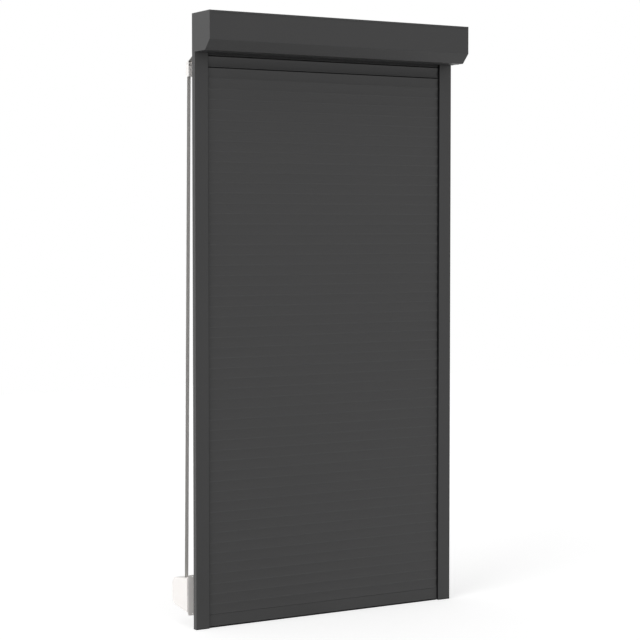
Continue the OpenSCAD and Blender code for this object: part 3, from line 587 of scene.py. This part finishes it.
def cover_screws():
    """pan heads under the box, shanks up through sheet and rim"""
    off_x, off_y = WIDE / 2 - CAP - CAP_RIM / 2, COVER_SCREW_GAP / 2
    mid_y = -(INLET + BOX - BEVEL) / 2
    centres = [(WIDE / 2 + side * off_x, mid_y + v * off_y) for side in (-1, 1) for v in (-1, 1)]
    rows = [(8, 1.85), (0, 1.9), (0, 3.5), (-0.5, 3.6), (-1.1, 3.3), (-1.6, 2.5), (-1.6, 2.1), (-0.5, 1.5)]
    screws("cover_screw_heads", "cover_screws", "z", centres, [(BOX_Z + dz, r) for dz, r in rows])


box_covers()
softened("end_cap_left", 0.9, 3, in_plane(0, 0))
softened("end_cap_right", 0.9, 3, in_plane(0, WIDE))
cover_screws()


# Rails with their seals, feet and caps

def outer_edge(a, b):
    return abs(a[2] - b[2]) > 1000 and near(a[1], 0, -RAIL_D) and near(a[0], 0, WIDE)


def foot_edge(a, b):
    flat = in_plane(2, 0, RAIL_Z0)(a, b)
    return flat or abs(a[2] - b[2]) > 3.5 and a[2] < 5 and b[2] < 5


# Strip across the mouth's lip, from the middle of its groove: foot, neck, cover over the end of the
# lip, and the soft lip towards the slats.
SEAL = [(-2.65, -2.65), (2.65, -2.65), (2.65, -1.35), (1.55, -1.35), (1.55, 0.02), (4.65, 0.06),
        (4.65, -5.0), (5.15, -5.0), (5.15, 0.08), (7.5, 0.1), (8.5, 0.57), (8.1, 0.67),
        (-1.55, 0.67), (-1.55, -1.35), (-2.65, -1.35)]
SEAL_RADII = [0.3, 0.3, 0.3, 0.1, 0.1, 0, 0.2, 0.2, 0.1, 0.4, 0.12, 0.12, 0.3, 0.1, 0.3]


def rail_seals(side):
    s = Shape()
    for lip in (-1, 1):
        outline = [(RAIL_W - RAIL_LIP / 2 + u, CURTAIN_Y + lip * (RAIL_MOUTH / 2 - v))
                   for u, v in rounded(SEAL, SEAL_RADII, 3)]
        if side == "right":
            outline = [(WIDE - u, v) for u, v in outline]
        s.prism([outline], [(RAIL_Z0, 0), (RAIL_Z1 - SEAL_SHORT, 0)], "z")
    s.piece("rail_seal_lips_" + side, "frame", "black_rubber", ("rail_seals_" + side,))


for side in ("left", "right"):
    softened("guide_rail_" + side, 1.2, 4, outer_edge)
    softened("rail_foot_" + side, 0.5, 2, foot_edge)
    rail_seals(side)
softened("access_hole_caps", 0.35, 2, in_plane(1, -RAIL_D))


# Curtain

SAG = BOW - math.sqrt(BOW * BOW - SLAT_H * SLAT_H / 4)
# The slats reach this far past the solids' edges, so that closed ones nearly touch.
SLAT_OVER = 0.24
SLAT_ENDS = [(SLAT_X, 0), (WIDE - SLAT_X, 0)]


def bowed(off, z):
    return SAG / 2 - BOW + math.sqrt((BOW + off) ** 2 - (z - SLAT_H / 2) ** 2)


def bead(z, n=14):
    """hook from the neck's right side over the bead to its left side"""
    half = math.asin(NECK_T / 2 / BEAD_R)
    return [(NECK_Y + BEAD_R * math.sin(t), z - BEAD_R * math.cos(t)) for t in span(half, 2 * math.pi - half, n)]


def slat_outline():
    """bowed faces, hook on top, and the pocket with two lips below"""
    skin, inner = SLAT_T / 2, SLAT_T / 2 - SLAT_WALL
    slot, neck = SLAT_SLOT / 2, NECK_T / 2
    low, high = -SLAT_OVER, SLAT_H + SLAT_OVER
    pts, rad = [], []

    def put(p, r=0.0):
        pts.append(p), rad.append(r)

    def face(off, z0, z1, n):
        for z in span(z0, z1, n):
            put((bowed(off, z), z), 0.3 if z in (z0, z1) else 0)

    put((NECK_Y + slot, low), 0.3)
    face(skin, low, high, 12)
    put((NECK_Y + neck, high), 0.4)
    for p in bead(PITCH + BEAD_IN):
        put(p)
    put((NECK_Y - neck, high), 0.4)
    face(-skin, high, low, 12)
    put((NECK_Y - slot, low), 0.3)
    put((NECK_Y - slot, SLAT_LIP), 0.2)
    face(-inner, SLAT_LIP, POCKET_TOP, 3)
    face(inner, POCKET_TOP, SLAT_LIP, 3)
    put((NECK_Y + slot, SLAT_LIP), 0.2)
    return rounded(pts, rad, 3)


def bowed_band(inset, z0, z1, r, steps=8):
    """closed outline between the slat's two faces, both moved in by an inset"""
    off = SLAT_T / 2 - inset
    pts = [(bowed(off, z), z) for z in span(z0, z1, steps)] + [(bowed(-off, z), z) for z in span(z1, z0, steps)]
    n = len(pts)
    return rounded(pts, [r if i in (0, steps, steps + 1, n - 1) else 0 for i in range(n)], 3)


def slat_z(k):
    """lower edge of a slat; the joints of the two highest hang open by their play"""
    return FOOT_H + k * PITCH + max(0, k - (SLATS - 3)) * PLAY


def slat_tone(k):
    """tone step of a slat, from 0 to 1, the same in every run"""
    return ((k * 7919 + 13) % 101) / 100.0


def group_start(g):
    return g * SLATS // GROUPS


def curtain():
    glint_band, hook_from = 0.5, SLAT_H + 0.2
    tight = SLAT_WALL + PLUG_PLAY
    outline = slat_outline()
    chamber = bowed_band(SLAT_WALL, POCKET_TOP + SLAT_WALL, SLAT_H - SLAT_WALL, 0.4)
    head = bowed_band(PLUG_PLAY, PLUG_PLAY, SLAT_H - PLUG_PLAY, 0.7)
    plug = bowed_band(tight, POCKET_TOP + tight, SLAT_H - tight, 0.5)
    # pale is 1 inside the painted highlight band at each slat's upper and lower edge, 0 elsewhere
    pale = [1.0 if z < glint_band or z > SLAT_H - glint_band else 0.0 for _, z in outline] + [0.0] * len(chamber)
    face = SLAT_X - PLUG_PLAY
    clip_levels = [(head, face - CLIP_T, face), (plug, face, face + CLIP_PLUG)]
    for g in range(GROUPS):
        node = f"slats_{g + 1:02d}"
        s, clips = Shape(), Shape()
        tones, edges, hooks = [], [], []
        for k in range(group_start(g), group_start(g + 1)):
            at = (CURTAIN_Y, slat_z(k))
            s.prism([outline, chamber], SLAT_ENDS, "x", at)
            count = 2 * len(pale)
            tones += [slat_tone(k)] * count
            edges += pale * 2
            hooks += [(slat_z(k) + hook_from - MID_Z) * MM] * count
            for loop, x0, x1 in clip_levels:
                clips.prism([loop], [(x0, 0), (x1, 0)], "x", at)
                clips.prism([loop], [(WIDE - x0, 0), (WIDE - x1, 0)], "x", at)
        s.marks = {"slat_tone": tones, "edge_glint": edges}
        obj = s.piece("curtain_" + node, BODY_OF[node], "anthracite_slat", (node,))
        # faces above the hook line take the darker coat: painted shade in the joints between slats
        obj.data.materials.append(SHADED_HOOK_COAT)
        for face_of in obj.data.polygons:
            if all(obj.data.vertices[i].co.z > hooks[i] for i in face_of.vertices):
                face_of.material_index = 1
        clips.piece("end_clips_" + node, BODY_OF[node], "black_plastic")


def bottom_rail():
    """two-chamber bar with the hook on top and a groove below"""
    half, groove, slot, neck = 4.3, 2.9, 1.45, NECK_T / 2
    low, lip, roof, web, ceiling, top = 5.3, 6.7, 11.3, 12.7, 46.6, 48.0
    hook = bead(FOOT_H + BEAD_IN)
    pts = [(slot, low), (half, low), (half, top), (NECK_Y + neck, top)] + hook + \
          [(NECK_Y - neck, top), (-half, top), (-half, low), (-slot, low), (-slot, lip), (-groove, lip),
           (-groove, roof), (groove, roof), (groove, lip), (slot, lip)]
    radii = [0.2, 0.9, 1.2, 0.3] + [0] * len(hook) + [0.3, 1.2, 0.9, 0.2, 0.1, 0.2, 0.4, 0.4, 0.2, 0.1]
    chamber = rounded([(-groove, web), (groove, web), (groove, ceiling), (-groove, ceiling)], 0.5)
    s = Shape()
    s.prism([rounded(pts, radii), chamber], SLAT_ENDS, "x", (CURTAIN_Y, 0))
    s.piece("bottom_rail_bar", "curtain_foot", "anthracite_rail", ("bottom_rail",))


def bottom_seal():
    """hollow bulb on the sill between the rails, its head in the groove of the bar"""
    neck, shoulder, low, under, over = 1.3, 2.75, 4.3, 6.85, 11.1
    half, sill, bulb_top = 3.9, 0.15, 5.05
    hollow, hollow_r = (0, 2.65), 1.45
    head = [(neck, low), (neck, under), (shoulder, under), (shoulder, over),
            (-shoulder, over), (-shoulder, under), (-neck, under), (-neck, low)]
    bulb = [(half, sill), (half, bulb_top), (-half, bulb_top), (-half, sill)]
    end = RAIL_W + SEAL_FIN + RUN_PLAY
    s = Shape()
    s.prism([rounded(head, [0.2, 0.1, 0.4, 0.5, 0.5, 0.4, 0.1, 0.2])], SLAT_ENDS, "x", (CURTAIN_Y, 0))
    s.prism([rounded(bulb, [1.6, 0.5, 0.5, 1.6], 5), ring(hollow, hollow_r, 20)],
            [(end, 0), (WIDE - end, 0)], "x", (CURTAIN_Y, 0))
    s.piece("bottom_seal_bulb", "curtain_foot", "black_rubber", ("bottom_seal",))


curtain()
bottom_rail()
bottom_seal()
softened("bottom_rail_glides", 0.5, 2, in_plane(0, SLAT_X - GLIDE_T, WIDE - SLAT_X + GLIDE_T))


# Strap: woven belt over the guide roller, and what is wound on its two reels

def strap_route():
    """middle line in the plane across the shutter: points with the direction of travel"""
    gap, wrap, quarter = RUN_PLAY + STRAP_T / 2, math.radians(110), math.pi / 2
    rp, rg, rs = PULLEY_COIL_R + gap, GUIDE_R + gap, SPOOL_COIL_R + gap
    to_guide, to_spool = Vector(GUIDE) - Vector(PULLEY), Vector(SPOOL) - Vector(GUIDE)
    a1 = math.atan2(to_guide.y, to_guide.x) + math.asin((rp + rg) / to_guide.length)
    a2 = math.atan2(to_spool.y, to_spool.x) - math.asin((rg + rs) / to_spool.length)
    out = []

    def arc(c, r, t0, t1, n, sign):
        for t in span(t0, t1, n):
            out.append((Vector(circle_point(c, r, t)), t + sign * quarter))

    def straight(end, a, n):
        start = out[-1][0].copy()
        for k in range(1, n):
            out.append((start.lerp(Vector(end), k / n), a))

    arc(PULLEY, rp, a1 - quarter - wrap, a1 - quarter, 22, 1)
    straight(circle_point(GUIDE, rg, a1 + quarter), a1, 8)
    arc(GUIDE, rg, a1 + quarter, a2 + quarter, 12, -1)
    straight(circle_point(SPOOL, -rs, a2 + quarter), a2, 60)
    arc(SPOOL, rs, a2 - quarter, a2 - quarter + wrap, 22, 1)
    return out


# Cross-section of the belt, with thicker selvedges
SECTION = [(-7.0, -0.2), (-6.85, -0.5), (-6.4, -0.6), (-5.9, -0.55), (5.9, -0.55), (6.4, -0.6),
           (6.85, -0.5), (7.0, -0.2), (7.0, 0.2), (6.85, 0.5), (6.4, 0.6), (5.9, 0.55),
           (-5.9, 0.55), (-6.4, 0.6), (-6.85, 0.5), (-7.0, 0.2)]


def belt(name, route, body, slot, nodes, width=STRAP_W, thick=STRAP_T):
    """flat band along a route, with its own width and length as UV"""
    s = Shape()
    rows, length, before = [], 0.0, route[0][0]
    for p, a in route:
        length += (p - before).length
        before = p
        row = []
        for u, v in SECTION:
            u, v = u * width / STRAP_W, v * thick / STRAP_T
            row.append(s.point(STRAP_X + u, p.x - v * math.sin(a), p.y + v * math.cos(a)))
            s.uv.append(((u + width / 2) * MM, length * MM))
        rows.append(row)
    s.skin(rows)
    s.ends(rows)
    s.piece(name, body, slot, nodes, SMOOTH_BELT)


def spiral(c, r0, r1, thick, per_turn=40):
    """winding from r0 out to r1, its layers a little apart"""
    pitch = thick * 1.06
    turns = (r1 - r0 - thick) / pitch
    steps = max(12, int(turns * per_turn))
    out = []
    for k in range(steps + 1):
        t = 2 * math.pi * turns * k / steps
        r = r0 + thick / 2 + pitch * t / (2 * math.pi)
        out.append((Vector(circle_point(c, r, t)), t + math.pi / 2))
    return out


# The strap's end is pressed flat on the spool; the clock spring has room between its turns.
END_T = STRAP_T * 0.6
SPRING_W, SPRING_T, SPRING_STEP = 13.0, 0.35, 0.5
belt("woven_strap_run", strap_route(), "frame", "grey_strap", ("strap",))
belt("strap_on_pulley", spiral(PULLEY, PULLEY_HUB_R, PULLEY_COIL_R, STRAP_T), "roller", "grey_strap",
     ("pulley_strap_coil",))
belt("strap_on_spool", spiral(SPOOL, SPOOL_HUB_R, SPOOL_COIL_R, END_T), "spool", "grey_strap",
     ("winder_strap_coil",), thick=END_T)
belt("clock_spring_band", spiral(SPOOL, SPRING_R0, SPRING_R1, SPRING_STEP), "frame", "spring_steel",
     ("winder_spring",), width=SPRING_W, thick=SPRING_T)


# Inside fittings: strap guide, winder with its plate, case and screws

def winder_plate():
    def outline(inset):
        half_w, half_h = PLATE_W / 2, PLATE_H / 2
        x0, x1 = STRAP_X - half_w + inset, STRAP_X + half_w - inset
        z0, z1 = WINDER_Z - half_h + inset, WINDER_Z + half_h - inset
        return rounded([(x0, z0), (x1, z0), (x1, z1), (x0, z1)], PLATE_R - inset, 6)

    holes = [ring((STRAP_X, WINDER_Z + v * PLATE_HOLE_GAP / 2), PLATE_HOLE_R) for v in (-1, 1)]
    levels = [(0, 0.6), (0.2, 0.2), (0.6, 0), (1.2, 0), (2.4, 0), (2.8, 0.2), (3.0, 0.6)]
    s = Shape()
    s.prism([outline] + holes, [(PLATE_Y + dy, inset) for dy, inset in levels], "y")
    s.piece("winder_mount_plate", "frame", "white_plastic", ("winder_plate",))


# Direction, seen from the nose's upper centre, in which its round meets the straight slope.
NOSE_RUN, NOSE_RISE = CASE_D - NOSE_R, (CASE_H - NOSE_H) / 2
SLOPE = math.atan2(NOSE_RISE, -NOSE_RUN) - math.acos(NOSE_R / math.hypot(NOSE_RUN, NOSE_RISE))


def case_line(inset, n=12):
    """open outline of the winder's case, from the plate over the nose back to the plate"""
    centre = (CASE_Y + CASE_D - NOSE_R, NOSE_H / 2)
    upper = [circle_point(centre, NOSE_R - inset, t) for t in span(SLOPE, 0, n)]
    start = upper[0][1] + (upper[0][0] - CASE_Y) * math.cos(SLOPE) / math.sin(SLOPE)
    line = [(CASE_Y, start)] + upper
    return [(y, WINDER_Z + z) for y, z in line] + [(y, WINDER_Z - z) for y, z in reversed(line)]


def winder_half(name, node, outside, cutters):
    """half a case: flat side with a round rim, wall to the seam, hollow inside, open to the plate"""
    way = 1 if STRAP_X > outside else -1
    seam, chamfer = STRAP_X - way * 0.05, 0.4
    rows = [(outside + way * CASE_RIM * (1 - math.cos(t)), CASE_RIM * (1 - math.sin(t)))
            for t in span(0, math.pi / 2, 6)]
    rows += [(seam - way * chamfer, 0), (seam, chamfer), (seam, CASE_WALL), (outside + way * CASE_WALL, CASE_WALL)]
    s = Shape()
    lines = [[s.point(x, y, z) for y, z in case_line(inset)] for x, inset in rows]
    s.skin(lines, closed=False)
    s.ends(lines)
    # edge at the plate, between the outer and the inner skin
    s.faces.append(tuple([line[0] for line in lines] + [line[-1] for line in reversed(lines)]))
    obj = s.piece(name, "frame", "white_plastic", (node,), SMOOTH_CASE)
    cut(obj, cutters, SMOOTH_CASE)


def strap_slit():
    """passage of the strap in the upper rim of the case"""
    half_w, half_d, z0, z1 = STRAP_W / 2 + STRAP_SIDE, 3.6, 165, 190
    x0, x1, y0, y1 = STRAP_X - half_w, STRAP_X + half_w, STRAP_IN_Y - half_d, STRAP_IN_Y + half_d
    s = Shape()
    s.prism([rounded([(x0, y0), (x1, y0), (x1, y1), (x0, y1)], 1.5)], [(z0, 0), (z1, 0)], "z")
    return s


CASE_SCREWS = [(CASE_SCREW_Y, WINDER_Z + v * CASE_SCREW_Z) for v in (-1, 1)]


def screw_seat(c):
    s = Shape()
    s.prism([ring(c, SCREW_SEAT_R, 40)], [(CASE_X1 - SCREW_SEAT, 0), (CASE_X1 + 6, 0)], "x")
    return s


def case_screws():
    """sunk pan heads, shanks through to the other half"""
    tip, head = CASE_X0 + 3, CASE_X1 - SCREW_SEAT
    screws("winder_screw_heads", "winder_screws", "x", CASE_SCREWS,
           [(tip, 1.3), (tip + 0.4, 1.5), (head, 1.5), (head, 2.9), (head + 0.5, 2.95), (head + 1.0, 2.6),
            (head + 1.2, 2.0), (head + 1.2, 1.7), (head + 0.3, 1.2)])


softened("strap_guide_body", 0.45, 2)
softened("strap_guide_roller", 0.5, 2)
softened("strap_guide_pin", 0.3, 2)
winder_plate()
winder_half("winder_shell_left", "winder_case_left", CASE_X0, [strap_slit()])
winder_half("winder_shell_right", "winder_case_right", CASE_X1, [strap_slit()] + [screw_seat(c) for c in CASE_SCREWS])
case_screws()

# Pieces that keep their CAD shape
for node, obj in frame["nodes"].items():
    if not obj.hide_render:
        for slot in obj.material_slots:
            slot.material = MATS[SLOT_OF[node]]


# Floor, light and camera

FLOOR_SIZE, FLOOR_COLOUR, FLOOR_GLOW, AMBIENT = 9.0, (0.72, 0.72, 0.72), 0.53, 0.30


def shown_white(tree):
    """1 for rays from the camera, a reflection or glass, which see the pale backdrop; 0 for light itself"""
    path = tree.nodes.new("ShaderNodeLightPath")
    seen = math_node(tree, "MAXIMUM", path.outputs["Is Camera Ray"], path.outputs["Is Glossy Ray"])
    return math_node(tree, "MAXIMUM", seen, path.outputs["Is Transmission Ray"])


def floor():
    size, z = FLOOR_SIZE, CAD_BOX[0][2]
    mesh = bpy.data.meshes.new("floor")
    mesh.from_pydata([(-size, -size, z), (size, -size, z), (size, size, z), (-size, size, z)], [], [(0, 1, 2, 3)])
    mat = bpy.data.materials.new("pale_floor")
    mat.use_nodes = True
    tree = mat.node_tree
    tree.nodes.clear()
    out = tree.nodes.new("ShaderNodeOutputMaterial")
    diffuse = add(tree, "ShaderNodeBsdfDiffuse", Color=(*FLOOR_COLOUR, 1))
    glow = add(tree, "ShaderNodeEmission", Color=(1, 1, 1, 1))
    feed(tree, math_node(tree, "MULTIPLY", shown_white(tree), FLOOR_GLOW), glow.inputs["Strength"])
    total = tree.nodes.new("ShaderNodeAddShader")
    tree.links.new(diffuse.outputs[0], total.inputs[0])
    tree.links.new(glow.outputs[0], total.inputs[1])
    tree.links.new(total.outputs[0], out.inputs["Surface"])
    mesh.materials.append(mat)
    linked("floor", mesh)


def world():
    studio = bpy.data.worlds.new("studio")
    bpy.context.scene.world = studio
    studio.use_nodes = True
    tree = studio.node_tree
    back = tree.nodes["Background"]
    back.inputs["Color"].default_value = (1, 1, 1, 1)
    feed(tree, remap(tree, shown_white(tree), AMBIENT, 1.0, 0.0, 1.0), back.inputs["Strength"])


def turned(obj, towards):
    obj.rotation_mode = "QUATERNION"
    obj.rotation_quaternion = Vector(towards).to_track_quat("-Z", "Y")


def sun(name, towards, share, spread):
    """a soft lamp; share is the part of a plain level that it gives a face turned to it"""
    data = bpy.data.lights.new(name, "SUN")
    data.energy = share * math.pi
    data.angle = math.radians(spread)
    turned(linked(name, data), towards)


floor()
world()
sun("key_left", (0.93, 0.25, -0.30), 0.74, 50)
sun("top_fill", (0.15, 0.05, -0.98), 0.20, 60)

camera = bpy.data.cameras.new("camera")
camera.lens, camera.sensor_width, camera.shift_y = 103.32, 36.0, -0.02
camera.clip_end = 60
eye = linked("camera", camera)
eye.location = (-3.4972, -5.8596, 0.3879)
yaw, pitch = math.radians(30.671), math.radians(-2.535)
turned(eye, (math.sin(yaw) * math.cos(pitch), math.cos(yaw) * math.cos(pitch), math.sin(pitch)))
bpy.context.scene.camera = eye
bpy.context.scene.view_settings.view_transform = "Standard"
